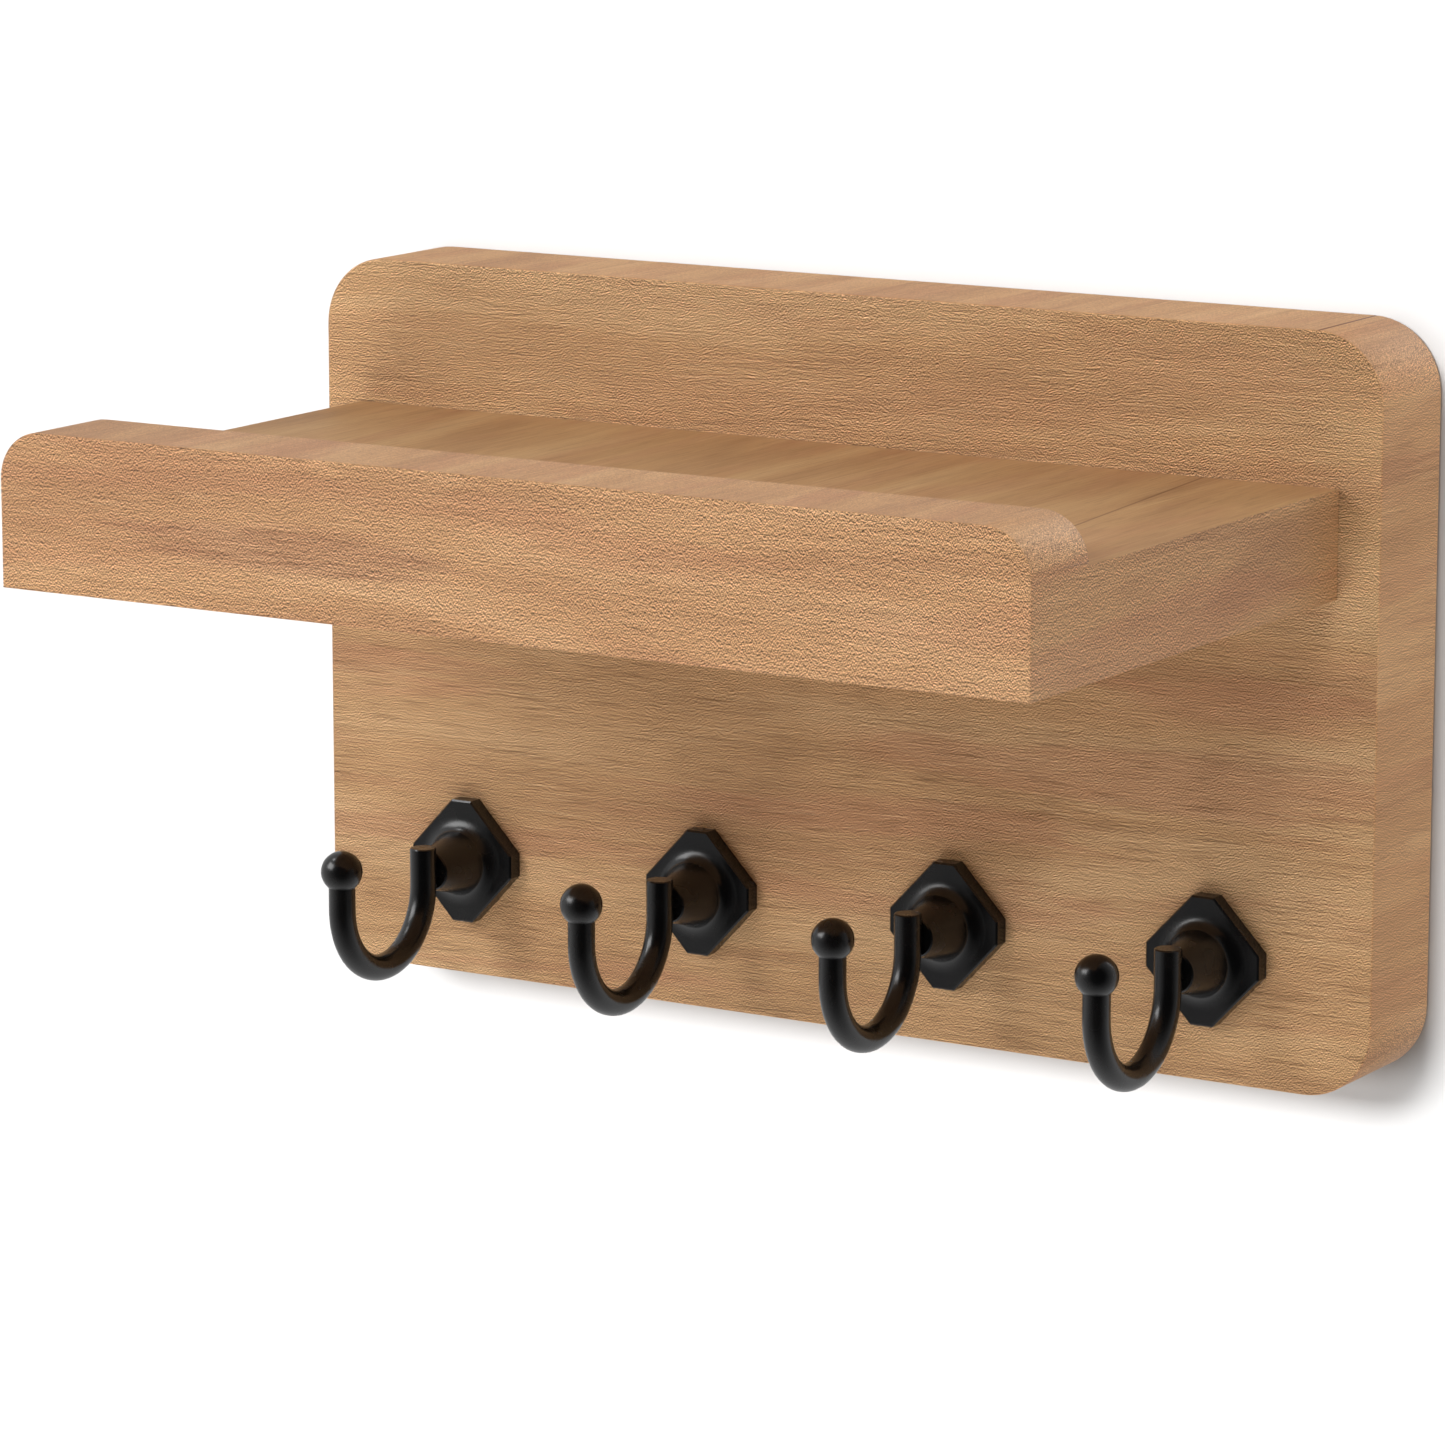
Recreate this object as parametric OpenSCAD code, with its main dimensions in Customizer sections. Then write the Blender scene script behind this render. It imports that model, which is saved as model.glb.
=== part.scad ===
// Wall key holder: a back board with a railed shelf and a row of four hooks.
// The origin is the middle of the back board's rear face, which lies on the wall.
// +X is to the right, -Y is to the front and +Z is up. Sizes are in millimetres.

/* [Back board] */
// Width of the back board
board_w = 254; // [240:1:400]
// Height of the back board
board_h = 156.4; // [150:0.1:240]
// Thickness of the back board
board_t = 27; // [22:0.5:40]
// Radius of the back board's four corners
board_r = 15; // [2:0.5:18]

/* [Shelf] */
// Width of the shelf and of the rail along its front edge
shelf_w = 235.6; // [220:0.1:380]
// Depth of the shelf between the back board and the rail
shelf_d = 105.4; // [80:0.1:180]
// Thickness of the shelf
shelf_t = 22.3; // [18:0.1:26]
// Height of the shelf's underside above the bottom of the back board
shelf_rise = 102.7; // [90:0.1:104]

/* [Rail] */
// Height of the rail, from the shelf's underside
rail_h = 32.2; // [28:0.1:60]
// Thickness of the rail
rail_t = 22.3; // [18:0.1:30]
// Radius of the rail's two upper corners
rail_r = 10; // [1:0.5:14]

/* [Dowels] */
// Number of dowels between the shelf and the rail
dowel_count = 3; // [2:1:3]
// Distance between neighbouring dowels
dowel_pitch = 90; // [40:1:100]
// Diameter of a dowel
dowel_d = 8; // [6:0.5:10]
// Length of a dowel
dowel_l = 36; // [30:1:40]
// Depth that a dowel reaches into the rail
dowel_seat = 14; // [8:0.5:16]
// Chamfer on a dowel's ends
dowel_chamfer = 0.8; // [0.2:0.1:1.5]

/* [Shelf screws] */
// Number of screws that hold the shelf to the back board
shelf_screw_count = 3; // [2:1:3]
// Distance between neighbouring shelf screws
shelf_screw_pitch = 70; // [60:1:76]
// Diameter of a shelf screw
shelf_screw_d = 4.5; // [3.5:0.1:6]
// Length of a shelf screw under its head
shelf_screw_l = 60; // [45:1:62]
// Diameter of a shelf screw's head
shelf_screw_head_d = 8.6; // [7.6:0.1:9.2]
// Height of a shelf screw's head
shelf_screw_head_h = 3; // [2:0.1:4]
// Length of a shelf screw's pointed tip
shelf_screw_tip = 6; // [3:0.5:10]

/* [Hooks] */
// Distance between neighbouring hooks
hook_pitch = 60.4; // [45:0.1:66]
// Height of the hooks' axes above the bottom of the back board
hook_rise = 25.9; // [24:0.1:40]

/* [Hook base] */
// Width of the eight-sided plate
plate_w = 25.8; // [22:0.1:32]
// Height of the eight-sided plate
plate_h = 27.1; // [22:0.1:32]
// Length of the plate's four short sides
plate_side = 5; // [3:0.1:8]
// Thickness of the plate
plate_t = 3.7; // [3:0.1:6]
// Chamfer round the plate's front face
plate_chamfer = 0.35; // [0.2:0.05:1]
// Flat rim left between the bell's flare and the plate's chamfer, where it is narrowest
plate_rim = 0.35; // [0.1:0.05:1]
// Diameter of the bell at its waist, where the flare would end if it ran on until it stood straight
bell_waist_d = 13.4; // [11:0.1:14]
// Length of the flare from the plate's face to the waist
bell_flare = 2.6; // [1.6:0.1:4]
// Angle through which the flare turns before it runs on as a straight cone
bell_turn = 78; // [60:1:85]
// Length of the bell from the plate's face to its nose
bell_l = 11.9; // [11.4:0.1:18]
// Diameter of the bell at its nose
bell_tip_d = 8.4; // [7.6:0.1:10.4]
// Chamfer on the nose's edge
nose_chamfer = 0.3; // [0.1:0.1:0.8]

/* [Hook arm] */
// Diameter of the arm's rod
rod_d = 5.7; // [4:0.1:7]
// Distance between the arm's two legs, centre to centre
arm_gap = 30.6; // [22:0.1:40]
// Height of the rod's cut end above the hook's axis
arm_top = 5.8; // [4.5:0.1:12]
// Distance from the hook's axis down to the bend's centre
arm_drop = 2.1; // [0:0.1:12]
// Height of the ball's centre above the hook's axis
ball_rise = 6.3; // [4:0.1:16]
// Diameter of the ball
ball_d = 8.9; // [8:0.1:12]
// Chamfer on the rod's cut end
rod_chamfer = 0.25; // [0.1:0.05:0.5]
// Diameter of the spigot that seats in the nose
spigot_d = 4; // [3:0.1:4.4]
// Length of the spigot behind the rod
spigot_l = 4.5; // [3:0.1:5]

/* [Hook screws] */
// Diameter of a hook screw
hook_screw_d = 4; // [3:0.1:5]
// Depth that a hook screw reaches into its hook base
hook_screw_grip = 7; // [4:0.1:8]
// Diameter of a hook screw's head
hook_screw_head_d = 7.6; // [7:0.1:9]
// Height of a hook screw's head
hook_screw_head_h = 2.6; // [2:0.1:4]

/* [Screw seats] */
// Diameter of the counterbores in the back board's rear face
sink_d = 10; // [9.6:0.1:12]
// Depth of the counterbores
sink_depth = 5; // [4.5:0.1:8]

/* [Hangers] */
// Distance from a side edge of the back board to the middle of the hanger plate next to it
hanger_inset = 27; // [18:0.5:27.5]
// Height of the hanger plates' middles above the bottom of the back board
hanger_rise = 122; // [100:1:124]
// Width of a hanger plate
hanger_w = 16; // [14:0.5:20]
// Length of a hanger plate
hanger_l = 46; // [42:0.5:50]
// Thickness of a hanger plate
hanger_t = 2; // [1.6:0.1:3]
// Diameter of the keyhole's entry
key_d = 9; // [8:0.1:10]
// Width of the keyhole's slot
slot_w = 4.5; // [3.5:0.1:5]
// Distance from the entry's centre to the slot's upper end
key_travel = 10; // [8:0.1:11]
// Depth of the pocket behind the keyhole
pocket_depth = 9; // [6:0.1:12]
// Room round the keyhole inside the pocket
pocket_room = 1; // [0.5:0.1:2]
// Distance between a hanger plate's two screws
hanger_screw_pitch = 34; // [33:0.5:36]
// Diameter of a hanger screw
hanger_screw_d = 3; // [2.4:0.1:3.5]
// Length of a hanger screw with its head
hanger_screw_l = 14; // [10:0.5:20]
// Diameter of a hanger screw's countersunk head
hanger_screw_head_d = 5.8; // [5:0.1:6.4]
// Height of a hanger screw's countersunk head
hanger_screw_head_h = 1.4; // [1:0.1:1.6]
// Length of a hanger screw's pointed tip
hanger_screw_tip = 3; // [1:0.5:4]

/* [Fits] */
// Clearance round a screw, dowel or spigot in its hole
fit = 0.05; // [0.02:0.01:0.15]
// Clearance round a hanger plate in its recess
recess_gap = 0.15; // [0.05:0.05:0.4]
// Spare depth of a blind hole past what it holds
end_gap = 0.5; // [0.2:0.1:1]

/* [Drive recess] */
// Length of the cross recess in a screw's head, as a share of the head
cross_share = 0.55; // [0.4:0.05:0.7]
// Width of the cross recess
cross_w = 0.9; // [0.5:0.1:1.2]
// Depth of the cross recess
cross_depth = 1.1; // [0.6:0.1:1.2]
// Chamfer on a pan head's rim, as a share of the head's height
pan_rim_share = 0.25; // [0.1:0.05:0.4]

/* [Hidden] */
$fn = 64;

// Length that a cutting shape stands past the face it opens
cut = 1;
// Facets round the large arcs: the boards' corners and the arm's bend
arc_fn = 96;
// Steps along the bell's flare
flare_steps = 12;
// Height of the thin slice that a hull starts from
slice = 0.2;
hook_count = 4;

wood = [0.76, 0.56, 0.38];
hook_black = [0.07, 0.065, 0.06];
steel = [0.72, 0.72, 0.74];
beech = [0.85, 0.70, 0.50];

board_bottom = -board_h / 2;
shelf_bottom = board_bottom + shelf_rise;
shelf_middle = shelf_bottom + shelf_t / 2;
shelf_front = board_t + shelf_d;
hook_z = board_bottom + hook_rise;
hanger_z = board_bottom + hanger_rise;
hanger_x = board_w / 2 - hanger_inset;

// Places along X, evenly spaced about the middle
function spread(i, count, pitch) = (i - (count - 1) / 2) * pitch;
function hook_x(i) = spread(i - 1, hook_count, hook_pitch);

// Turns a shape drawn with +Z to the front so that +Z becomes -Y
module facing_front(x, depth, z) {
    translate([x, -depth, z]) rotate([90, 0, 0]) children();
}

module at_hooks() {
    for (i = [1:hook_count]) facing_front(hook_x(i), 0, hook_z) children();
}

module at_shelf_screws() {
    for (i = [0:shelf_screw_count - 1]) {
        facing_front(spread(i, shelf_screw_count, shelf_screw_pitch), 0, shelf_middle) children();
    }
}

module at_dowels() {
    for (i = [0:dowel_count - 1]) {
        facing_front(spread(i, dowel_count, dowel_pitch), shelf_front + dowel_seat - dowel_l, shelf_middle)
            children();
    }
}

module at_hanger_screws() {
    for (side = [-1, 1], end = [-1, 1]) {
        facing_front(side * hanger_x, 0, hanger_z + end * hanger_screw_pitch / 2) children();
    }
}

// Rectangle with its lower and upper corners rounded by their own radii, standing on y = 0
module rounded_panel(w, h, r_low, r_high) {
    difference() {
        translate([-w / 2, 0]) square([w, h]);
        for (side = [-1, 1]) {
            corner_notch(side, w / 2, r_low, 0, 1);
            corner_notch(side, w / 2, r_high, h, -1);
        }
    }
}

// The waste outside one rounded corner
module corner_notch(side, half_w, r, y, up) {
    if (r > 0) {
        difference() {
            translate([side * (half_w - r / 2 + cut / 2), y + up * (r - cut) / 2])
                square([r + cut, r + cut], center = true);
            translate([side * (half_w - r), y + up * r]) circle(r = r, $fn = arc_fn);
        }
    }
}

// Upright slot with round ends, as wide as d, from y = low to y = high between its centres
module upright_slot(d, low, high) {
    for (y = [low, high]) translate([0, y]) circle(d = d);
    translate([-d / 2, low]) square([d, high - low]);
}

// A blind or through hole for a screw, with a counterbore at z = 0
module screw_hole(d, depth) {
    translate([0, 0, -cut]) cylinder(d = d + 2 * fit, h = depth + cut);
    translate([0, 0, -cut]) cylinder(d = sink_d, h = sink_depth + cut);
}

module cross_recess(head_d) {
    for (turn = [0, 90]) rotate([0, 0, turn])
        translate([-head_d * cross_share / 2, -cross_w / 2, -cut])
            cube([head_d * cross_share, cross_w, cross_depth + cut]);
}

// Screw along +Z with its head's outer face at z = 0
module pan_screw(d, l, head_d, head_h, tip) {
    edge = head_h * pan_rim_share;
    difference() {
        rotate_extrude() polygon([
            [0, 0], [head_d / 2 - edge, 0], [head_d / 2, edge], [head_d / 2, head_h],
            [d / 2, head_h], [d / 2, head_h + l - tip], [tip > 0 ? 0 : d / 2, head_h + l], [0, head_h + l]
        ]);
        cross_recess(head_d);
    }
}

// Countersunk screw along +Z with its head's flat face at z = 0
module flat_screw(d, l, head_d, head_h, tip) {
    difference() {
        rotate_extrude() polygon([
            [0, 0], [head_d / 2, 0], [d / 2, head_h], [d / 2, l - tip], [0, l]
        ]);
        cross_recess(head_d);
    }
}

module back_board() {
    color(wood) difference() {
        facing_front(0, 0, board_bottom)
            linear_extrude(board_t) rounded_panel(board_w, board_h, board_r, board_r);
        at_hooks() screw_hole(hook_screw_d, board_t + cut);
        at_shelf_screws() screw_hole(shelf_screw_d, board_t + cut);
        for (side = [-1, 1]) facing_front(side * hanger_x, 0, hanger_z) hanger_recess();
        at_hanger_screws() translate([0, 0, -cut])
            cylinder(d = hanger_screw_d + 2 * fit, h = hanger_screw_l + end_gap + cut);
    }
}

// Recess that takes a hanger plate flush, with the wall screw's pocket behind the keyhole
module hanger_recess() {
    translate([0, 0, -cut]) linear_extrude(hanger_t + cut) offset_slot(recess_gap);
    translate([0, 0, -cut]) linear_extrude(pocket_depth + cut)
        upright_slot(key_d + 2 * pocket_room, -key_travel / 2, key_travel / 2);
}

module offset_slot(grow) {
    half = (hanger_l - hanger_w) / 2;
    upright_slot(hanger_w + 2 * grow, -half, half);
}

module shelf_board() {
    grip = shelf_screw_l - (board_t - sink_depth);
    color(wood) difference() {
        facing_front(0, board_t, shelf_bottom)
            translate([-shelf_w / 2, 0]) cube([shelf_w, shelf_t, shelf_d]);
        at_shelf_screws() translate([0, 0, board_t - cut])
            cylinder(d = shelf_screw_d + 2 * fit, h = grip + end_gap + cut);
        at_dowels() translate([0, 0, -end_gap]) cylinder(d = dowel_d + 2 * fit, h = dowel_l + cut);
    }
}

module front_rail() {
    color(wood) difference() {
        facing_front(0, shelf_front, shelf_bottom)
            linear_extrude(rail_t) rounded_panel(shelf_w, rail_h, 0, rail_r);
        at_dowels() cylinder(d = dowel_d + 2 * fit, h = dowel_l + end_gap);
    }
}

module rail_dowels() {
    r = dowel_d / 2;
    c = dowel_chamfer;
    color(beech) at_dowels() rotate_extrude() polygon([
        [0, 0], [r - c, 0], [r, c], [r, dowel_l - c], [r - c, dowel_l], [0, dowel_l]
    ]);
}

// Eight-sided outline of the hook's plate, drawn smaller by inset all round
module plate_outline(inset) {
    w = plate_w / 2;
    h = plate_h / 2;
    s = plate_side / 2;
    offset(delta = -inset) polygon([
        [s, h], [w, s], [w, -s], [s, -h], [-s, -h], [-w, -s], [-w, s], [-s, h]
    ]);
}

// Distance from the plate's middle to the side that is nearest to it
function plate_reach() =
    let (high = [plate_side, plate_h] / 2, wide = [plate_w, plate_side] / 2)
    min(plate_w / 2, plate_h / 2, abs(cross(high, wide)) / norm(high - wide));

// Half of the bell's outline as [radius, height] from the plate's face to the nose
function bell_profile() =
    let (
        rim_r = plate_reach() - plate_chamfer - plate_rim,
        waist_r = bell_waist_d / 2,
        tip_r = bell_tip_d / 2
    )
    concat(
        [[0, 0]],
        [for (i = [0:flare_steps]) let (a = bell_turn * i / flare_steps) [
            rim_r - (rim_r - waist_r) * sin(a),
            bell_flare * (1 - cos(a))
        ]],
        [[tip_r, bell_l - nose_chamfer], [tip_r - nose_chamfer, bell_l], [0, bell_l]]
    );

module hook_base(i) {
    body = plate_t - plate_chamfer;
    color(hook_black) facing_front(hook_x(i), board_t, hook_z) difference() {
        union() {
            linear_extrude(body) plate_outline(0);
            hull() {
                translate([0, 0, body - slice]) linear_extrude(slice) plate_outline(0);
                translate([0, 0, body]) linear_extrude(plate_chamfer) plate_outline(plate_chamfer);
            }
            translate([0, 0, plate_t]) rotate_extrude() polygon(bell_profile());
        }
        translate([0, 0, -cut]) cylinder(d = hook_screw_d + 2 * fit, h = hook_screw_grip + end_gap + cut);
        translate([0, 0, plate_t + bell_l - spigot_l - end_gap])
            cylinder(d = spigot_d + 2 * fit, h = spigot_l + end_gap + cut);
    }
}

// Bent rod with a ball on its front leg and a spigot behind its rear leg
module hook_arm(i) {
    bend_r = arm_gap / 2;
    nose_depth = board_t + plate_t + bell_l;
    leg_depth = nose_depth + rod_d / 2;
    color(hook_black) translate([hook_x(i), -leg_depth, hook_z]) {
        // Rear leg, with its cut end chamfered
        translate([0, 0, -arm_drop]) rotate_extrude() polygon([
            [0, 0], [rod_d / 2, 0], [rod_d / 2, arm_top + arm_drop - rod_chamfer],
            [rod_d / 2 - rod_chamfer, arm_top + arm_drop], [0, arm_top + arm_drop]
        ]);
        // Bend
        translate([0, -bend_r, -arm_drop]) rotate([-90, 0, 90])
            rotate_extrude(angle = 180, $fn = arc_fn) translate([bend_r, 0]) circle(d = rod_d);
        // Front leg and ball
        translate([0, -arm_gap, -arm_drop]) cylinder(d = rod_d, h = arm_drop + ball_rise);
        translate([0, -arm_gap, ball_rise]) sphere(d = ball_d);
        // Spigot
        rotate([-90, 0, 0]) cylinder(d = spigot_d, h = rod_d / 2 + spigot_l);
    }
}

module hook_screws() {
    l = board_t - sink_depth + hook_screw_grip;
    color(steel) at_hooks() translate([0, 0, sink_depth - hook_screw_head_h])
        pan_screw(hook_screw_d, l, hook_screw_head_d, hook_screw_head_h, 0);
}

module shelf_screws() {
    color(steel) at_shelf_screws() translate([0, 0, sink_depth - shelf_screw_head_h])
        pan_screw(shelf_screw_d, shelf_screw_l, shelf_screw_head_d, shelf_screw_head_h, shelf_screw_tip);
}

// Stamped hanger plate with a keyhole and two countersunk holes, flush with the rear face
module hanger_plate(side) {
    color(steel) facing_front(side * hanger_x, 0, hanger_z) difference() {
        linear_extrude(hanger_t) offset_slot(0);
        translate([0, -key_travel / 2, -cut]) cylinder(d = key_d, h = hanger_t + 2 * cut);
        translate([0, 0, -cut]) linear_extrude(hanger_t + 2 * cut)
            upright_slot(slot_w, -key_travel / 2, key_travel / 2);
        for (end = [-1, 1]) translate([0, end * hanger_screw_pitch / 2, 0]) {
            translate([0, 0, -cut]) cylinder(d = hanger_screw_d + 2 * fit, h = hanger_t + 2 * cut);
            cylinder(
                d1 = hanger_screw_head_d + 2 * fit,
                d2 = hanger_screw_d + 2 * fit,
                h = hanger_screw_head_h
            );
        }
    }
}

module hanger_screws() {
    color(steel) at_hanger_screws() flat_screw(
        hanger_screw_d, hanger_screw_l, hanger_screw_head_d, hanger_screw_head_h, hanger_screw_tip
    );
}

back_board();
shelf_board();
front_rail();
hook_base(1);  // hook_base_1
hook_base(2);  // hook_base_2
hook_base(3);  // hook_base_3
hook_base(4);  // hook_base_4
hook_arm(1);  // hook_arm_1
hook_arm(2);  // hook_arm_2
hook_arm(3);  // hook_arm_3
hook_arm(4);  // hook_arm_4
hook_screws();
shelf_screws();
rail_dowels();
hanger_plate(-1);  // hanger_plate_left
hanger_plate(1);  // hanger_plate_right
hanger_screws();
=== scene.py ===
# Wall key holder: the looks of every surface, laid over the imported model.
# Everything is in metres, in the model's own frame: y = 0 is the wall and -Y the front.
import math

import bmesh
import bpy
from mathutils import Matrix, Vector


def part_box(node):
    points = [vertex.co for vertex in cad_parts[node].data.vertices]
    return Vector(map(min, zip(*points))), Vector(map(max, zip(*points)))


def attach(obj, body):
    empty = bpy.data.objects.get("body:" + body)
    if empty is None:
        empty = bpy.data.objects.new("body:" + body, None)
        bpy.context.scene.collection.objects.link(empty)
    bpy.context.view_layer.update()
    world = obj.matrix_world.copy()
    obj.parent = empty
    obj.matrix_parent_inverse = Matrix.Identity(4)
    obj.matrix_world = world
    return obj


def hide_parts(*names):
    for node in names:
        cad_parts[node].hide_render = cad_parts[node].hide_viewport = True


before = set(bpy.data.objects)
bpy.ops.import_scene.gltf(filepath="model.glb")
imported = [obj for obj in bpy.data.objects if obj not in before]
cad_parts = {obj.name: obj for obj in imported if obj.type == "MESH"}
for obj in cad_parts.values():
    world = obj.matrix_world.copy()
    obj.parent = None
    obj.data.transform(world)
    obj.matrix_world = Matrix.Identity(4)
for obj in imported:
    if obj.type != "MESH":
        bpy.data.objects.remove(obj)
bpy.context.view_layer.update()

MM = 0.001
HOOKS = (1, 2, 3, 4)

# Hook sizes that the boxes of the nodes don't give. SIDE_INSET is how much a short side's half gets
# shorter as the outline moves in, and FLARE_TURN is the angle in degrees that the bell's flare turns through.
PLATE_SIDE = 5.0 * MM
PLATE_T = 3.7 * MM
PLATE_CHAMFER = 0.35 * MM
SIDE_INSET = 0.29
BELL_R = 10.4 * MM
BELL_WAIST_R = 6.7 * MM
BELL_FLARE = 2.6 * MM
FLARE_TURN = 78
BELL_TIP_R = 4.2 * MM
NOSE_BEVEL = 0.3 * MM
ROD_R = 2.85 * MM
ROD_CHAMFER = 0.25 * MM
BALL_R = 4.45 * MM
SPIGOT_R = 2.0 * MM
SPIGOT_L = 4.5 * MM
HOOK_ABOVE_AXIS = 5.8 * MM
BALL_ABOVE_AXIS = 6.3 * MM
BEND_BELOW_AXIS = 2.1 * MM

# Boards: the radii of their corners, their softened edge, and the area from which a flat face is shaded flat
BOARD_CORNER = 15 * MM
RAIL_CORNER = 10 * MM
EDGE = 0.35 * MM
LARGE_FLAT = 60 * MM * MM

# A point this close to a face, or to the outline of a board, lies on it
ON_FACE = 0.02 * MM
ON_OUTLINE = 0.05 * MM

# Faces that turn by less than SAME_PLANE degrees are joined, and a board's edge that turns by FOLD degrees
# or more can be softened
SAME_PLANE = 1.0
FOLD = 60

# Edges that turn by more than this many degrees stay sharp
BASE_SHARP = 24
ARM_SHARP = 32
BOARD_SHARP = 35


# Colours

def rgb(red, green, blue):
    """Linear colour from the 0 to 255 values that a screen shows."""
    linear = []
    for value in (red, green, blue):
        v = value / 255
        linear.append(v / 12.92 if v <= 0.04045 else ((v + 0.055) / 1.055) ** 2.4)
    return (*linear, 1.0)


# Node helpers

class Nodes:
    """A short way to write a material's node tree."""

    def __init__(self, name):
        self.material = bpy.data.materials.new(name)
        self.material.use_nodes = True
        self.tree = self.material.node_tree
        self.tree.nodes.clear()
        self.output = self.add("ShaderNodeOutputMaterial")

    def add(self, kind, inputs=None, **settings):
        node = self.tree.nodes.new(kind)
        for key, value in settings.items():
            setattr(node, key, value)
        for key, value in (inputs or {}).items():
            self.feed(node.inputs[key], value)
        return node

    def feed(self, socket, value):
        if isinstance(value, bpy.types.NodeSocket):
            self.tree.links.new(value, socket)
        else:
            socket.default_value = value

    def place(self, scale, shift=(0, 0, 0)):
        """Object coordinates, times scale along each axis."""
        coordinates = self.add("ShaderNodeTexCoord").outputs["Object"]
        return self.add(
            "ShaderNodeMapping",
            {"Vector": coordinates, "Scale": scale, "Location": shift},
        ).outputs["Vector"]

    def place_turned(self, sizes, turn, shift=(0, 0, 0)):
        """Object coordinates, turned and then divided by the sizes that a texture's cells have."""
        coordinates = self.add("ShaderNodeTexCoord").outputs["Object"]
        return self.add(
            "ShaderNodeMapping",
            {"Vector": coordinates, "Scale": sizes, "Rotation": turn, "Location": shift},
            vector_type="TEXTURE",
        ).outputs["Vector"]

    def axes(self, vector):
        """The X, Y and Z outputs of a vector."""
        return self.add("ShaderNodeSeparateXYZ", {"Vector": vector}).outputs

    def here(self):
        """The X, Y and Z outputs of the object's own coordinates."""
        return self.axes(self.add("ShaderNodeTexCoord").outputs["Object"])

    def noise(self, vector, detail=2.0, roughness=0.5, distortion=0.0):
        """Noise whose cells are one unit of vector long."""
        return self.add("ShaderNodeTexNoise", {
            "Vector": vector, "Scale": 1.0, "Detail": detail,
            "Roughness": roughness, "Distortion": distortion,
        }).outputs["Fac"]

    def ramp(self, value, *stops):
        """A colour ramp; each stop is (position, colour)."""
        node = self.add("ShaderNodeValToRGB", {"Fac": value})
        elements = node.color_ramp.elements
        while len(elements) < len(stops):
            elements.new(0.5)
        for element, (position, colour) in zip(elements, stops):
            element.position = position
            element.color = colour
        return node.outputs["Color"]

    def span(self, value, low, high, to_low=0.0, to_high=1.0):
        """value, moved from low..high to to_low..to_high and held there."""
        return self.add("ShaderNodeMapRange", {
            "Value": value, "From Min": low, "From Max": high,
            "To Min": to_low, "To Max": to_high,
        }, interpolation_type="SMOOTHSTEP").outputs["Result"]

    def math(self, operation, a, b=0.5):
        """a and b put together; ABSOLUTE reads only a."""
        node = self.add("ShaderNodeMath", operation=operation)
        self.feed(node.inputs[0], a)
        self.feed(node.inputs[1], b)
        return node.outputs["Value"]

    def times(self, a, b):
        return self.math("MULTIPLY", a, b)

    def mix(self, share, a, b, blend="MIX"):
        """a with share of b laid over it."""
        node = self.add("ShaderNodeMix", data_type="RGBA", blend_type=blend)
        self.feed(node.inputs["Factor"], share)
        self.feed(node.inputs["A"], a)
        self.feed(node.inputs["B"], b)
        return node.outputs["Result"]

    def bump(self, height, strength, distance):
        return self.add("ShaderNodeBump", {
            "Height": height, "Strength": strength, "Distance": distance,
        }).outputs["Normal"]

    def surface(self, **inputs):
        """Ends the tree in a Principled shader with these inputs; _ stands for a space."""
        shader = self.add("ShaderNodeBsdfPrincipled")
        for key, value in inputs.items():
            self.feed(shader.inputs[key.replace("_", " ")], value)
        self.tree.links.new(shader.outputs["BSDF"], self.output.inputs["Surface"])
        return self.material


# Wood

PALE = rgb(210, 166, 124)
TAN = rgb(200, 154, 112)
BROWN = rgb(184, 138, 100)
RUST = rgb(186, 129, 98)
DARK = rgb(128, 88, 60)
LIGHT = rgb(238, 200, 158)
MARK = rgb(112, 68, 48)
FIGURE = rgb(172, 124, 96)
WHITE = (1.0, 1.0, 1.0, 1.0)

PER_MM = 1000.0

# How deep each layer of the grain is, where streak is 1
BAND_DEPTH = 0.24
LINE_DEPTH = 0.40
LIGHT_DEPTH = 0.30
PORE_DEPTH = 0.40

# How deep the patch of figured wood and its flecks are, and how much its outline wanders
FIGURE_DEPTH = 0.40
FLECK_DEPTH = 0.36
FIGURE_WANDER = 2.5

# Raised grain: the length and height of its cells and how far they lean, in degrees
CELL = (0.17 * MM, 0.26 * MM, 20)
FLAT_CELL = (0.18 * MM, 0.24 * MM, 14)

# Raised grain: the height of its painted lit edge, the contrast of its painted highlight and shade where
# relief is 1, the depth of its bump, and how far the fine lines sink into it
LIT_EDGE = 0.28 * MM
PAINTED_SHADE_GAIN = 7.0
BUMP_DEPTH = 0.045 * MM
LINE_SINK = 0.6

# Fibres in the raised grain: cells per millimetre along and across, and their share by the grain's axis
FIBRE_COARSE = 0.12
FIBRE_FINE = 2.4
FIBRE_SHARE = (0.12, 0.05)

# The lower wood: the height over which it fades in, and what it does to each layer. There the raised grain's
# painted highlight and shade are weaker, as painted shade under the shelf, and the pores and reddish patches
# are stronger.
LOW_FADE = 20 * MM
LOW_PAINTED_SHADE = 0.60
LOW_RUST = 2.6
LOW_PORES = 1.5
PLAIN_PORES = 0.7

# Oil: roughness from the low to the raised grain, specular level, and how much a sheen of 1 changes them
ROUGH_LOW = 0.60
ROUGH_HIGH = 0.74
SPECULAR = 0.22
SHEEN_ROUGH = -0.14
SHEEN_SPECULAR = 0.28


def along(axis, coarse, fine):
    """Scale for a grain that runs along axis: coarse along it and fine across it, per millimetre."""
    return tuple(PER_MM * (coarse if i == axis else fine) for i in range(3))


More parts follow.
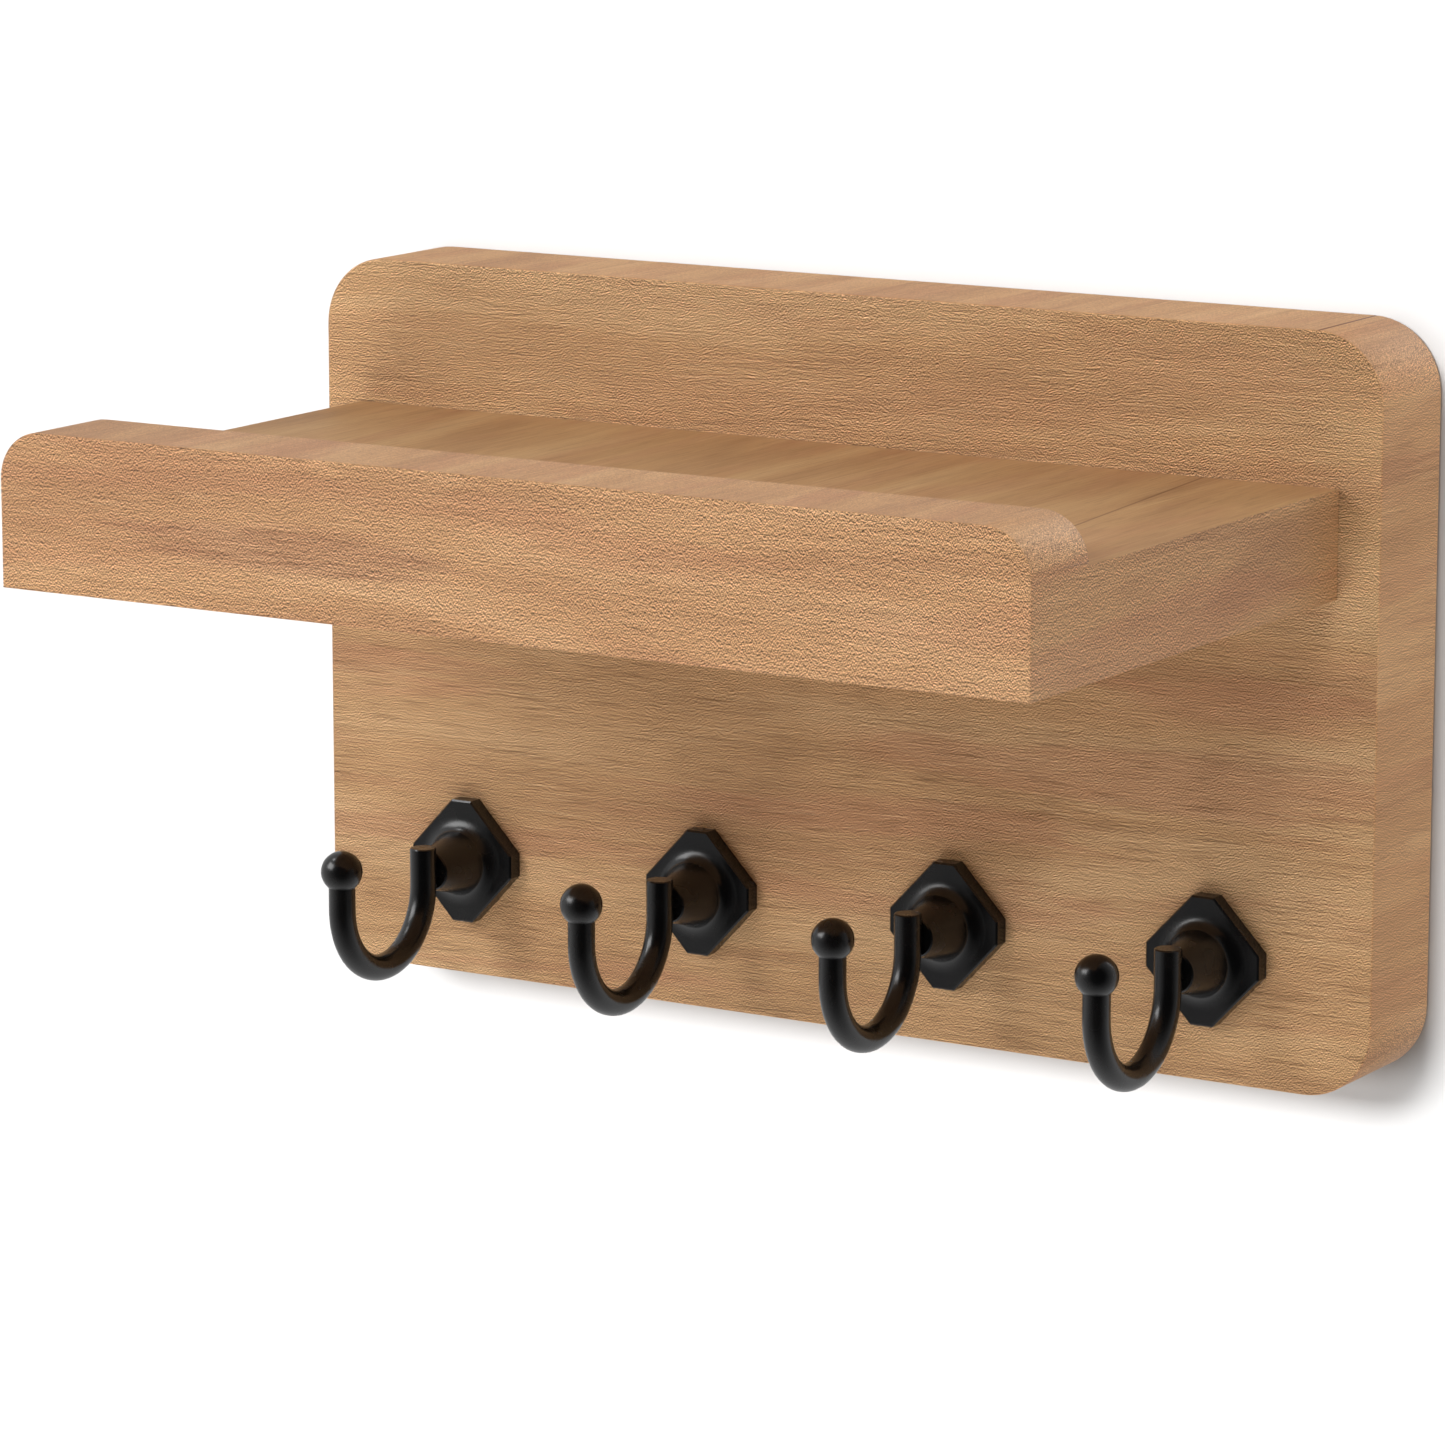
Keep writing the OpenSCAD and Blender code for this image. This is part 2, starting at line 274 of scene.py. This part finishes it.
def raised_grain(n, axis, cell, seed):
    """The height of the raised grain, and its rise upwards, which paints highlight and shade on its edges."""
    lean = math.radians(cell[2])
    turn = (0, -lean, 0) if axis == 0 else (lean, 0, 0)
    sizes = tuple((cell[0] if i == axis else cell[1]) for i in range(3))
    fibre_scale = along(axis, FIBRE_COARSE, FIBRE_FINE)
    heights = []
    for lift in (0, LIT_EDGE):
        grain = n.noise(n.place_turned(sizes, turn, (seed * MM, 0, -lift)), 1.0, 0.5)
        fibre = n.noise(n.place(fibre_scale, (seed, seed, seed + lift * fibre_scale[2])), 1.0, 0.5)
        heights.append(n.math("ADD", grain, n.times(fibre, FIBRE_SHARE[axis])))
    return heights[0], n.math("SUBTRACT", *heights)


def mark_share(n, mark, broad, facing):
    """Where one thin line lies on the upper side.

    mark is the line's x where y is 0, the x that it gains with y, its half width and its depth."""
    start, gain_x, half, depth = mark
    at = n.here()
    wander = n.times(n.math("SUBTRACT", broad, 0.5), 2 * half)
    across = n.math("SUBTRACT", at["X"], n.times(at["Y"], gain_x))
    offset = n.math("ABSOLUTE", n.math("SUBTRACT", n.math("ADD", across, wander), start))
    return n.times(n.span(offset, 0.4 * half, half, depth, 0.0), n.span(facing, 0.8, 0.9))


def figure_share(n, figure, band):
    """Where one patch of figured wood lies; figure is its middle (x, z), half length and half height."""
    at = n.here()
    reach = []
    for letter, middle, half in zip("XZ", figure[:2], figure[2:]):
        offset = n.math("DIVIDE", n.math("SUBTRACT", at[letter], middle), half)
        reach.append(n.times(offset, offset))
    wander = n.times(n.math("SUBTRACT", band, 0.5), FIGURE_WANDER)
    return n.span(n.math("ADD", n.math("ADD", *reach), wander), 1.0, 0.2)


def wood(name, axis, relief_and_shade, streak, rust, seed, tint, cell=CELL, shade_and_grain_below=None,
         mark=None, figure=None, sheen=0.0):
    """Oiled wood whose grain runs along axis (0 is X, 1 is Y).

    relief sets the grain's bump and its painted highlight and shade; streak and rust, the dark layers and
    reddish patches.
    Under the height shade_and_grain_below the grain's painted highlight and shade fade, as painted shade, and
    the pores and reddish patches get stronger.
    mark and figure are one thin line and one figured patch, as mark_share and figure_share take them.
    sheen from 0 to 1 makes the oil smoother."""
    n = Nodes(name)
    shift = (seed, seed * 0.7, seed * 1.3)
    broad = n.noise(n.place(along(axis, 0.008, 0.06), shift), 3.0, 0.5, 0.6)
    patch = n.noise(n.place(along(axis, 0.010, 0.09), (seed + 5, 1, 2)), 3.0, 0.55, 0.5)
    band = n.noise(n.place(along(axis, 0.012, 0.40), shift), 4.0, 0.65, 0.6)
    line = n.noise(n.place(along(axis, 0.05, 2.3), shift), 2.0, 0.6, 0.3)
    pores = n.noise(n.place(along(axis, 0.10, 2.1), (seed, 7, 3)), 2.0, 0.5, 0.1)
    height, painted_edge_shade = raised_grain(n, axis, cell, seed)

    # Contrast of the raised grain's painted highlight and shade
    painted_shade_gain = PAINTED_SHADE_GAIN * relief_and_shade
    pore_depth = PORE_DEPTH * streak
    # Under the given height the painted highlight and shade get weaker, as painted shade, and the pores and
    # reddish patches stronger
    if shade_and_grain_below is not None:
        z = n.here()["Z"]
        fade = (z, shade_and_grain_below, shade_and_grain_below + LOW_FADE)
        painted_shade_gain = n.span(*fade, LOW_PAINTED_SHADE * painted_shade_gain, painted_shade_gain)
        rust = n.span(*fade, LOW_RUST * rust, rust)
        pore_depth = n.span(*fade, LOW_PORES * pore_depth, PLAIN_PORES * pore_depth)

    colour = n.ramp(broad, (0.32, BROWN), (0.50, TAN), (0.66, PALE))
    colour = n.mix(n.times(n.span(patch, 0.48, 0.62), rust), colour, RUST)
    colour = n.mix(n.span(band, 0.50, 0.68, 0.0, BAND_DEPTH * streak), colour, DARK)
    colour = n.mix(n.span(line, 0.54, 0.70, 0.0, LINE_DEPTH * streak), colour, DARK)
    colour = n.mix(n.span(line, 0.44, 0.32, 0.0, LIGHT_DEPTH * streak), colour, LIGHT)
    colour = n.mix(n.times(n.span(pores, 0.55, 0.70), pore_depth), colour, DARK)
    facing = n.axes(n.add("ShaderNodeNewGeometry").outputs["Normal"])["Z"]
    if mark is not None:
        colour = n.mix(mark_share(n, mark, broad, facing), colour, MARK)
    if figure is not None:
        inside = figure_share(n, figure, band)
        colour = n.mix(n.times(inside, FIGURE_DEPTH), colour, FIGURE)
        flecks = n.times(n.span(line, 0.46, 0.58), inside)
        colour = n.mix(n.times(flecks, FLECK_DEPTH), colour, MARK)

    # Painted highlight and shade from the raised grain's rise, weaker on faces that look up or down
    painted_shade_share = n.span(n.math("ABSOLUTE", facing), 0.3, 1.0, 1.0, 0.3)
    shade = n.math("ADD", n.times(painted_edge_shade, n.times(painted_shade_share, painted_shade_gain)), 1.0)
    colour = n.mix(1.0, colour, shade, "MULTIPLY")
    colour = n.mix(1.0, colour, tint, "MULTIPLY")

    smoother = SHEEN_ROUGH * sheen
    return n.surface(
        Base_Color=colour,
        Roughness=n.span(height, 0.5, 1.2, ROUGH_LOW + smoother, ROUGH_HIGH + smoother),
        Normal=n.bump(n.math("SUBTRACT", height, n.times(line, LINE_SINK)), relief_and_shade, BUMP_DEPTH),
        Specular_IOR_Level=SPECULAR + SHEEN_SPECULAR * sheen,
    )


# Metals

def painted_black():
    """Satin black paint over the castings, with a fine orange-peel."""
    n = Nodes("hook_black_paint")
    peel = n.noise(n.place((PER_MM * 1.2,) * 3), 1.0, 0.5)
    cloud = n.noise(n.place((PER_MM * 0.18,) * 3), 2.0, 0.5)
    colour = n.mix(n.span(cloud, 0.35, 0.65), rgb(9, 9, 10), rgb(13, 12, 12))
    rough = n.span(cloud, 0.3, 0.7, 0.23, 0.28)
    return n.surface(
        Base_Color=colour, Roughness=rough, Specular_IOR_Level=0.5,
        Normal=n.bump(peel, 0.02, 0.02 * MM),
    )


def brushed_steel(name, tone, axis):
    """Zinc-plated steel with a fine brushing along axis."""
    n = Nodes(name)
    brush = n.noise(n.place(along(axis, 0.08, 4.0)), 3.0, 0.6)
    stain = n.noise(n.place((PER_MM * 0.3,) * 3), 2.0, 0.5)
    pale = tuple(min(1.0, c * 1.15) for c in tone[:3]) + (1.0,)
    colour = n.mix(n.span(stain, 0.35, 0.7), tone, pale)
    rough = n.span(brush, 0.3, 0.7, 0.28, 0.42)
    return n.surface(
        Base_Color=colour, Metallic=1.0, Roughness=rough,
        Normal=n.bump(brush, 0.12, 0.02 * MM),
    )


# Meshes

def mesh_object(name, bm, sharp_angle, *materials):
    """A new object from bm, smooth where neighbouring faces turn by less than sharp_angle."""
    bmesh.ops.recalc_face_normals(bm, faces=bm.faces)
    mesh = bpy.data.meshes.new(name)
    bm.to_mesh(mesh)
    bm.free()
    for material in materials:
        mesh.materials.append(material)
    mesh.shade_smooth()
    mesh.set_sharp_from_angle(angle=math.radians(sharp_angle))
    obj = bpy.data.objects.new(name, mesh)
    bpy.context.scene.collection.objects.link(obj)
    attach(obj, "root")
    return obj


def loft(bm, rings):
    """A closed skin over rings that have equally many points, with flat ends."""
    rows = [[bm.verts.new(point) for point in ring] for ring in rings]
    count = len(rows[0])
    for low, high in zip(rows, rows[1:]):
        for i in range(count):
            j = (i + 1) % count
            bm.faces.new((low[i], low[j], high[j], high[i]))
    bm.faces.new(rows[0])
    bm.faces.new(rows[-1])


# Points along a sloping side and along an upright or level side of the plate, and round the rods
SLOPE_STEPS = 16
SIDE_STEPS = 6
TUBE_STEPS = 40


def eight_sides(width, height, inset):
    """Points (x, z) round the plate's outline, with extra ones along each of its sides."""
    half_w = width / 2 - inset
    half_h = height / 2 - inset
    half_s = PLATE_SIDE / 2 - inset * SIDE_INSET
    corners = [
        (half_s, half_h), (half_w, half_s), (half_w, -half_s), (half_s, -half_h),
        (-half_s, -half_h), (-half_w, -half_s), (-half_w, half_s), (-half_s, half_h),
    ]
    points = []
    for i, (start, end) in enumerate(zip(corners, corners[1:] + corners[:1])):
        steps = SLOPE_STEPS if i % 2 == 0 else SIDE_STEPS
        for k in range(steps):
            t = k / steps
            points.append((start[0] + (end[0] - start[0]) * t, start[1] + (end[1] - start[1]) * t))
    return points


def hook_base(i, material):
    """Eight-sided plate that flares into a bell, drawn as one skin of rings from the board to the nose."""
    low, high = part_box(f"hook_base_{i}")
    middle = (low + high) / 2
    width, height = high.x - low.x, high.z - low.z
    back = high.y
    face = back - PLATE_T
    nose = low.y
    angles = [math.atan2(z, x) for x, z in eight_sides(width, height, 0)]

    def plate_ring(inset, y):
        return [(middle.x + x, y, middle.z + z) for x, z in eight_sides(width, height, inset)]

    def round_ring(radius, y):
        return [(middle.x + radius * math.cos(a), y, middle.z + radius * math.sin(a)) for a in angles]

    rings = [plate_ring(0, back), plate_ring(0, face + PLATE_CHAMFER)]
    chamfer_steps = 3
    for k in range(1, chamfer_steps + 1):
        share = k / chamfer_steps
        rings.append(plate_ring(PLATE_CHAMFER * share, face + PLATE_CHAMFER * (1 - share)))
    flare_steps = 28
    for k in range(flare_steps + 1):
        a = math.radians(FLARE_TURN) * k / flare_steps
        radius = BELL_R - (BELL_R - BELL_WAIST_R) * math.sin(a)
        rings.append(round_ring(radius, face - BELL_FLARE * (1 - math.cos(a))))
    rings.append(round_ring(BELL_TIP_R, nose + NOSE_BEVEL))
    rings.append(round_ring(BELL_TIP_R - NOSE_BEVEL, nose))
    bm = bmesh.new()
    loft(bm, rings)
    obj = mesh_object(f"hook_{i}_base", bm, BASE_SHARP, material)
    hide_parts(f"hook_base_{i}")


def tube_ring(centre, across, up, radius):
    """Points on a circle round centre, in the plane of across and up."""
    ring = []
    for k in range(TUBE_STEPS):
        a = 2 * math.pi * k / TUBE_STEPS
        ring.append(centre + across * (radius * math.cos(a)) + up * (radius * math.sin(a)))
    return ring


def hook_arm(i, material):
    """Bent rod with a cut rear end and a ball in front, and the spigot that seats it in the nose."""
    low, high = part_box(f"hook_arm_{i}")
    x = (low.x + high.x) / 2
    base_low, base_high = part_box(f"hook_base_{i}")
    nose = base_low.y
    axis_z = (base_low.z + base_high.z) / 2
    rear_y = nose - ROD_R
    front_y = low.y + BALL_R
    bend_r = (rear_y - front_y) / 2
    bend = Vector((x, (rear_y + front_y) / 2, axis_z - BEND_BELOW_AXIS))
    side = Vector((1, 0, 0))
    back = Vector((0, 1, 0))
    up = Vector((0, 0, 1))

    top = axis_z + HOOK_ABOVE_AXIS
    rings = [
        tube_ring(Vector((x, rear_y, top)), side, back, ROD_R - ROD_CHAMFER),
        tube_ring(Vector((x, rear_y, top - ROD_CHAMFER)), side, back, ROD_R),
    ]
    bend_steps = 56
    for k in range(bend_steps + 1):
        a = math.pi * k / bend_steps
        radial = back * math.cos(a) - up * math.sin(a)
        rings.append(tube_ring(bend + radial * bend_r, side, radial, ROD_R))
    ball_z = axis_z + BALL_ABOVE_AXIS
    start = math.asin(ROD_R / BALL_R)
    ball_steps = 30
    for k in range(ball_steps):
        a = start + (math.pi - start) * k / ball_steps
        centre = Vector((x, front_y, ball_z - BALL_R * math.cos(a)))
        rings.append(tube_ring(centre, side, -back, BALL_R * math.sin(a)))
    bm = bmesh.new()
    loft(bm, rings)
    spigot_rear = nose + SPIGOT_L
    loft(bm, [
        tube_ring(Vector((x, rear_y, axis_z)), side, up, SPIGOT_R),
        tube_ring(Vector((x, spigot_rear, axis_z)), side, up, SPIGOT_R),
    ])
    obj = mesh_object(f"hook_{i}_arm", bm, ARM_SHARP, material)
    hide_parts(f"hook_arm_{i}")


def on_rim(vert, half_w, low_z, high_z, corner_low, corner_high):
    """True if vert lies on the board's outline as seen from the front."""
    x, z = abs(vert.co.x), vert.co.z
    if x > half_w - ON_OUTLINE or z < low_z + ON_OUTLINE or z > high_z - ON_OUTLINE:
        return True
    for corner, centre_z, outside in (
        (corner_low, low_z + corner_low, z < low_z + corner_low),
        (corner_high, high_z - corner_high, z > high_z - corner_high),
    ):
        if corner and outside and x > half_w - corner:
            reach = math.hypot(x - (half_w - corner), z - centre_z)
            if abs(reach - corner) < ON_OUTLINE:
                return True
    return False


def eased_board(node, name, corner_low, corner_high, materials, eased, finish):
    """A copy of a board whose outer edges are softened where eased(ends) says so.

    corner_low and corner_high are the radii of its lower and upper corners.
    finish(normal) gives the index of a face's material."""
    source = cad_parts[node]
    low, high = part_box(node)
    bm = bmesh.new()
    bm.from_mesh(source.data)
    bmesh.ops.remove_doubles(bm, verts=bm.verts, dist=0.001 * MM)
    bmesh.ops.dissolve_limit(
        bm, angle_limit=math.radians(SAME_PLANE), verts=bm.verts, edges=bm.edges, delimit={"NORMAL"},
    )
    rim = []
    for e in bm.edges:
        ends = e.verts
        flat_front = all(abs(v.co.y - low.y) < ON_FACE for v in ends)
        flat_rear = all(abs(v.co.y - high.y) < ON_FACE for v in ends)
        if not (flat_front or flat_rear) or len(e.link_faces) != 2:
            continue
        if e.calc_face_angle(0) < math.radians(FOLD):
            continue
        on_outline = all(on_rim(v, high.x, low.z, high.z, corner_low, corner_high) for v in ends)
        if on_outline and eased([v.co for v in ends]):
            rim.append(e)
    bmesh.ops.bevel(
        bm, geom=rim, offset=EDGE, offset_type="OFFSET", segments=3, profile=0.5,
        affect="EDGES", clamp_overlap=True,
    )
    bm.normal_update()
    for f in bm.faces:
        f.material_index = finish(f.normal)
    obj = mesh_object(name, bm, BOARD_SHARP, *materials)
    for polygon in obj.data.polygons:
        level = max(abs(part) for part in polygon.normal) > 0.9999
        if level and polygon.area > LARGE_FLAT:
            polygon.use_smooth = False
    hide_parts(node)
    return obj


# Stage, light and camera

# World's strength for the light that it gives, and the floor's glow that only the camera sees
AMBIENT = 0.30
FLOOR_GLOW = 0.55

# Reflections find the room dark in this direction: wholly where their cosine to it is over DARK_ABOVE,
# and not at all where it is under WHITE_BELOW
DARK_SIDE = (0.55, -0.80, 0.20)
DARK_ABOVE = 0.8
WHITE_BELOW = -0.15

# The photograph's view: a long lens from the front right, a little above; angles in degrees
VIEW_AZIMUTH = 31.446
VIEW_PITCH = 11.217
LENS = 153.2
CAMERA_PLACE = (0.6448, -1.1238, 0.2392)


def stage_plane(name, corners, material):
    """One face of the studio, which isn't part of the object."""
    mesh = bpy.data.meshes.new(name)
    mesh.from_pydata(corners, [], [tuple(range(len(corners)))])
    mesh.materials.append(material)
    obj = bpy.data.objects.new(name, mesh)
    bpy.context.scene.collection.objects.link(obj)
    return obj


def wall_material():
    """White wall that keeps the shadow and isn't there when it is seen from behind."""
    n = Nodes("white_wall")
    diffuse = n.add("ShaderNodeBsdfDiffuse", {"Color": rgb(188, 188, 188)})
    clear = n.add("ShaderNodeBsdfTransparent")
    side = n.add("ShaderNodeNewGeometry").outputs["Backfacing"]
    pick = n.add("ShaderNodeMixShader", {0: side})
    n.tree.links.new(diffuse.outputs[0], pick.inputs[1])
    n.tree.links.new(clear.outputs[0], pick.inputs[2])
    n.tree.links.new(pick.outputs[0], n.output.inputs["Surface"])
    return n.material


def light_link(lamp_object, target, state):
    """The lamp lights only target, or all but target."""
    linked = bpy.data.collections.new(f"{lamp_object.name}_lights")
    linked.objects.link(target)
    lamp_object.light_linking.receiver_collection = linked
    linked.collection_objects[0].light_linking.link_state = state


def make_stage():
    """The wall just behind the board and a floor below; returns the wall."""
    wall_y = 0.3 * MM
    wall_half, wall_low, wall_high = 2.2, -0.9, 1.6
    floor_half, floor_z = 6, wall_low
    wall = stage_plane("wall", [
        (-wall_half, wall_y, wall_low), (wall_half, wall_y, wall_low),
        (wall_half, wall_y, wall_high), (-wall_half, wall_y, wall_high),
    ], wall_material())
    wall.visible_shadow = False
    wall.visible_diffuse = False
    wall.visible_glossy = False
    floor = Nodes("pale_floor")
    seen = floor.add("ShaderNodeLightPath").outputs["Is Camera Ray"]
    ground = stage_plane("floor", [
        (-floor_half, -floor_half, floor_z), (floor_half, -floor_half, floor_z),
        (floor_half, floor_half, floor_z), (-floor_half, floor_half, floor_z),
    ], floor.surface(
        Base_Color=rgb(238, 238, 238), Roughness=0.9, Emission_Color=WHITE,
        Emission_Strength=floor.times(seen, FLOOR_GLOW),
    ))
    ground.visible_glossy = False
    return wall


def make_world():
    """White surroundings: full for the camera, dimmer for the light that they give, and dark for
    reflections towards the camera's side of the room."""
    world = bpy.data.worlds.new("soft_white")
    bpy.context.scene.world = world
    world.use_nodes = True
    tree = world.node_tree
    tree.nodes.clear()
    path = tree.nodes.new("ShaderNodeLightPath")
    place = tree.nodes.new("ShaderNodeTexCoord")
    towards = tree.nodes.new("ShaderNodeVectorMath")
    towards.operation = "DOT_PRODUCT"
    towards.inputs[1].default_value = DARK_SIDE
    front = tree.nodes.new("ShaderNodeMapRange")
    reflected = tree.nodes.new("ShaderNodeMix")
    seen = tree.nodes.new("ShaderNodeMath")
    seen.operation = "MAXIMUM"
    strength = tree.nodes.new("ShaderNodeMix")
    background = tree.nodes.new("ShaderNodeBackground")
    output = tree.nodes.new("ShaderNodeOutputWorld")
    link = tree.links.new
    link(place.outputs["Generated"], towards.inputs[0])
    link(towards.outputs["Value"], front.inputs["Value"])
    front.inputs["From Min"].default_value = DARK_ABOVE
    front.inputs["From Max"].default_value = WHITE_BELOW
    link(path.outputs["Is Glossy Ray"], reflected.inputs["Factor"])
    reflected.inputs["A"].default_value = AMBIENT
    link(front.outputs["Result"], reflected.inputs["B"])
    link(path.outputs["Is Camera Ray"], seen.inputs[0])
    link(path.outputs["Is Transmission Ray"], seen.inputs[1])
    link(seen.outputs[0], strength.inputs["Factor"])
    link(reflected.outputs["Result"], strength.inputs["A"])
    strength.inputs["B"].default_value = 1.0
    link(strength.outputs["Result"], background.inputs["Strength"])
    link(background.outputs[0], output.inputs["Surface"])


def lamp(name, place, aim, width, height, watts):
    """A soft box at place that points at aim."""
    data = bpy.data.lights.new(name, "AREA")
    data.shape = "RECTANGLE"
    data.size = width
    data.size_y = height
    data.energy = watts
    obj = bpy.data.objects.new(name, data)
    bpy.context.scene.collection.objects.link(obj)
    obj.location = place
    obj.rotation_mode = "QUATERNION"
    obj.rotation_quaternion = (Vector(aim) - Vector(place)).to_track_quat("-Z", "Y")
    return obj


def make_camera():
    """The photograph's viewpoint, without shift or depth of field."""
    data = bpy.data.cameras.new("camera")
    data.lens = LENS
    data.sensor_fit = "AUTO"
    data.sensor_width = 36.0
    data.clip_start = 0.01
    data.clip_end = 50.0
    camera = bpy.data.objects.new("camera", data)
    bpy.context.scene.collection.objects.link(camera)
    camera.location = CAMERA_PLACE
    azimuth = math.radians(VIEW_AZIMUTH)
    pitch = math.radians(VIEW_PITCH)
    look = Vector((
        -math.sin(azimuth) * math.cos(pitch), math.cos(azimuth) * math.cos(pitch), -math.sin(pitch),
    ))
    camera.rotation_mode = "QUATERNION"
    camera.rotation_quaternion = look.to_track_quat("-Z", "Y")
    bpy.context.scene.camera = camera


def front_side_rear(normal):
    """0 for a front face, 2 for a rear face and 1 for what runs round between them."""
    if abs(normal.y) < 0.9:
        return 1
    return 0 if normal.y < 0 else 2


def end_or_flat(normal):
    """1 for the shelf's two ends and 0 for its other faces."""
    return 1 if abs(normal.x) > 0.7 else 0


make_camera()
wall = make_stage()
make_world()
bpy.context.scene.view_settings.view_transform = "Standard"

# Lamps that light everything but the wall
MIDDLE = (0, -0.05, 0)
key = lamp("key", (-0.59, -0.89, 0.52), MIDDLE, 0.35, 0.60, 7.2)
fill = lamp("fill", (1.38, -0.27, 0.22), MIDDLE, 0.9, 0.9, 4.1)
over = lamp("over", (0.35, -0.60, 0.85), MIDDLE, 0.5, 0.5, 4.4)
low_left = lamp("low_left", (-0.55, -0.75, -0.75), MIDDLE, 0.5, 0.5, 2.7)
low_middle = lamp("low_middle", (-0.12, -0.96, -0.70), MIDDLE, 0.6, 0.6, 5.9)
rear = lamp("rear", (0.5, 1.2, 0.8), MIDDLE, 1.0, 1.0, 9.0)
shine = lamp("shine", (-0.68, -0.72, 0.44), (0, -0.05, -0.05), 0.62, 0.44, 5.6)
glint = lamp("glint", (-0.67, -0.30, 0.90), (-0.06, -0.03, -0.03), 0.16, 0.16, 1.0)
for each in (key, fill, over, low_left, low_middle):
    each.visible_glossy = False
for each in (shine, glint):
    each.visible_diffuse = False
for each in (key, fill, over, low_left, low_middle, rear, shine, glint):
    light_link(each, wall, "EXCLUDE")

# Two far lamps that light the wall only
wall_high = lamp("wall_high", (-0.42, -4.08, 1.39), (0, 0, 0), 1.35, 0.90, 262.0)
wall_front = lamp("wall_front", (-0.42, -4.08, 0.08), (0, 0, 0), 1.35, 0.98, 92.0)
for each in (wall_high, wall_front):
    light_link(each, wall, "INCLUDE")

# Materials
face_wood = wood(
    "board_face_wood", 0, 1.0, 0.7, 0.18, 3.0, rgb(224, 230, 227), shade_and_grain_below=10 * MM,
)
edge_wood = wood(
    "board_edge_wood", 1, 0.60, 0.6, 0.25, 11.0, rgb(250, 246, 234),
    mark=(112.4 * MM, 0.0, 0.40 * MM, 1.0), sheen=0.2,
)
rear_wood = wood("rear_wood", 0, 0.25, 0.9, 0.3, 31.0, rgb(238, 238, 236))
rail_face = wood(
    "rail_face_wood", 0, 0.64, 0.6, 0.25, 17.0, rgb(219, 219, 217), FLAT_CELL,
    figure=(-48 * MM, 38.5 * MM, 46 * MM, 6 * MM),
)
rail_edge = wood("rail_edge_wood", 1, 0.72, 0.6, 0.35, 23.0, rgb(236, 233, 224), sheen=0.35)
shelf_face = wood(
    "shelf_wood", 1, 0.12, 0.6, 0.30, 23.0, rgb(224, 224, 212),
    mark=(85.0 * MM, -0.097, 0.45 * MM, 0.55),
)
dowel_wood = wood("dowel_wood", 1, 0.3, 0.5, 0.3, 41.0, rgb(252, 244, 232))
black = painted_black()
screw_steel = brushed_steel("screw_steel", rgb(186, 186, 190), 0)
hanger_steel = brushed_steel("hanger_steel", rgb(196, 196, 200), 2)

# Pieces
shelf_low, shelf_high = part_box("shelf_board")

board = eased_board(
    "back_board", "board", BOARD_CORNER, BOARD_CORNER,
    (face_wood, edge_wood, rear_wood), lambda ends: True, front_side_rear,
)
eased_board(
    "front_rail", "rail", 0, RAIL_CORNER, (rail_face, rail_edge, rail_edge),
    lambda ends: all(p.y < shelf_low.y - ON_FACE or p.z > shelf_high.z - ON_FACE for p in ends),
    front_side_rear,
)
eased_board(
    "shelf_board", "shelf", 0, 0, (shelf_face, rail_edge),
    lambda ends: all(p.y > shelf_high.y - ON_FACE and abs(p.x) > shelf_high.x - ON_FACE for p in ends),
    end_or_flat,
)

for i in HOOKS:
    hook_base(i, black)
    hook_arm(i, black)

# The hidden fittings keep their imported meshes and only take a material
for node, material in (
    ("hook_screws", screw_steel), ("shelf_screws", screw_steel), ("hanger_screws", screw_steel),
    ("hanger_plate_left", hanger_steel), ("hanger_plate_right", hanger_steel),
    ("rail_dowels", dowel_wood),
):
    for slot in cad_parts[node].material_slots:
        slot.link = "OBJECT"
        slot.material = material

# Of all pieces only the board stands in the way of the wall's lamps
blockers = bpy.data.collections.new("wall_lamp_blockers")
blockers.objects.link(board)
for each in (wall_high, wall_front):
    each.light_linking.blocker_collection = blockers
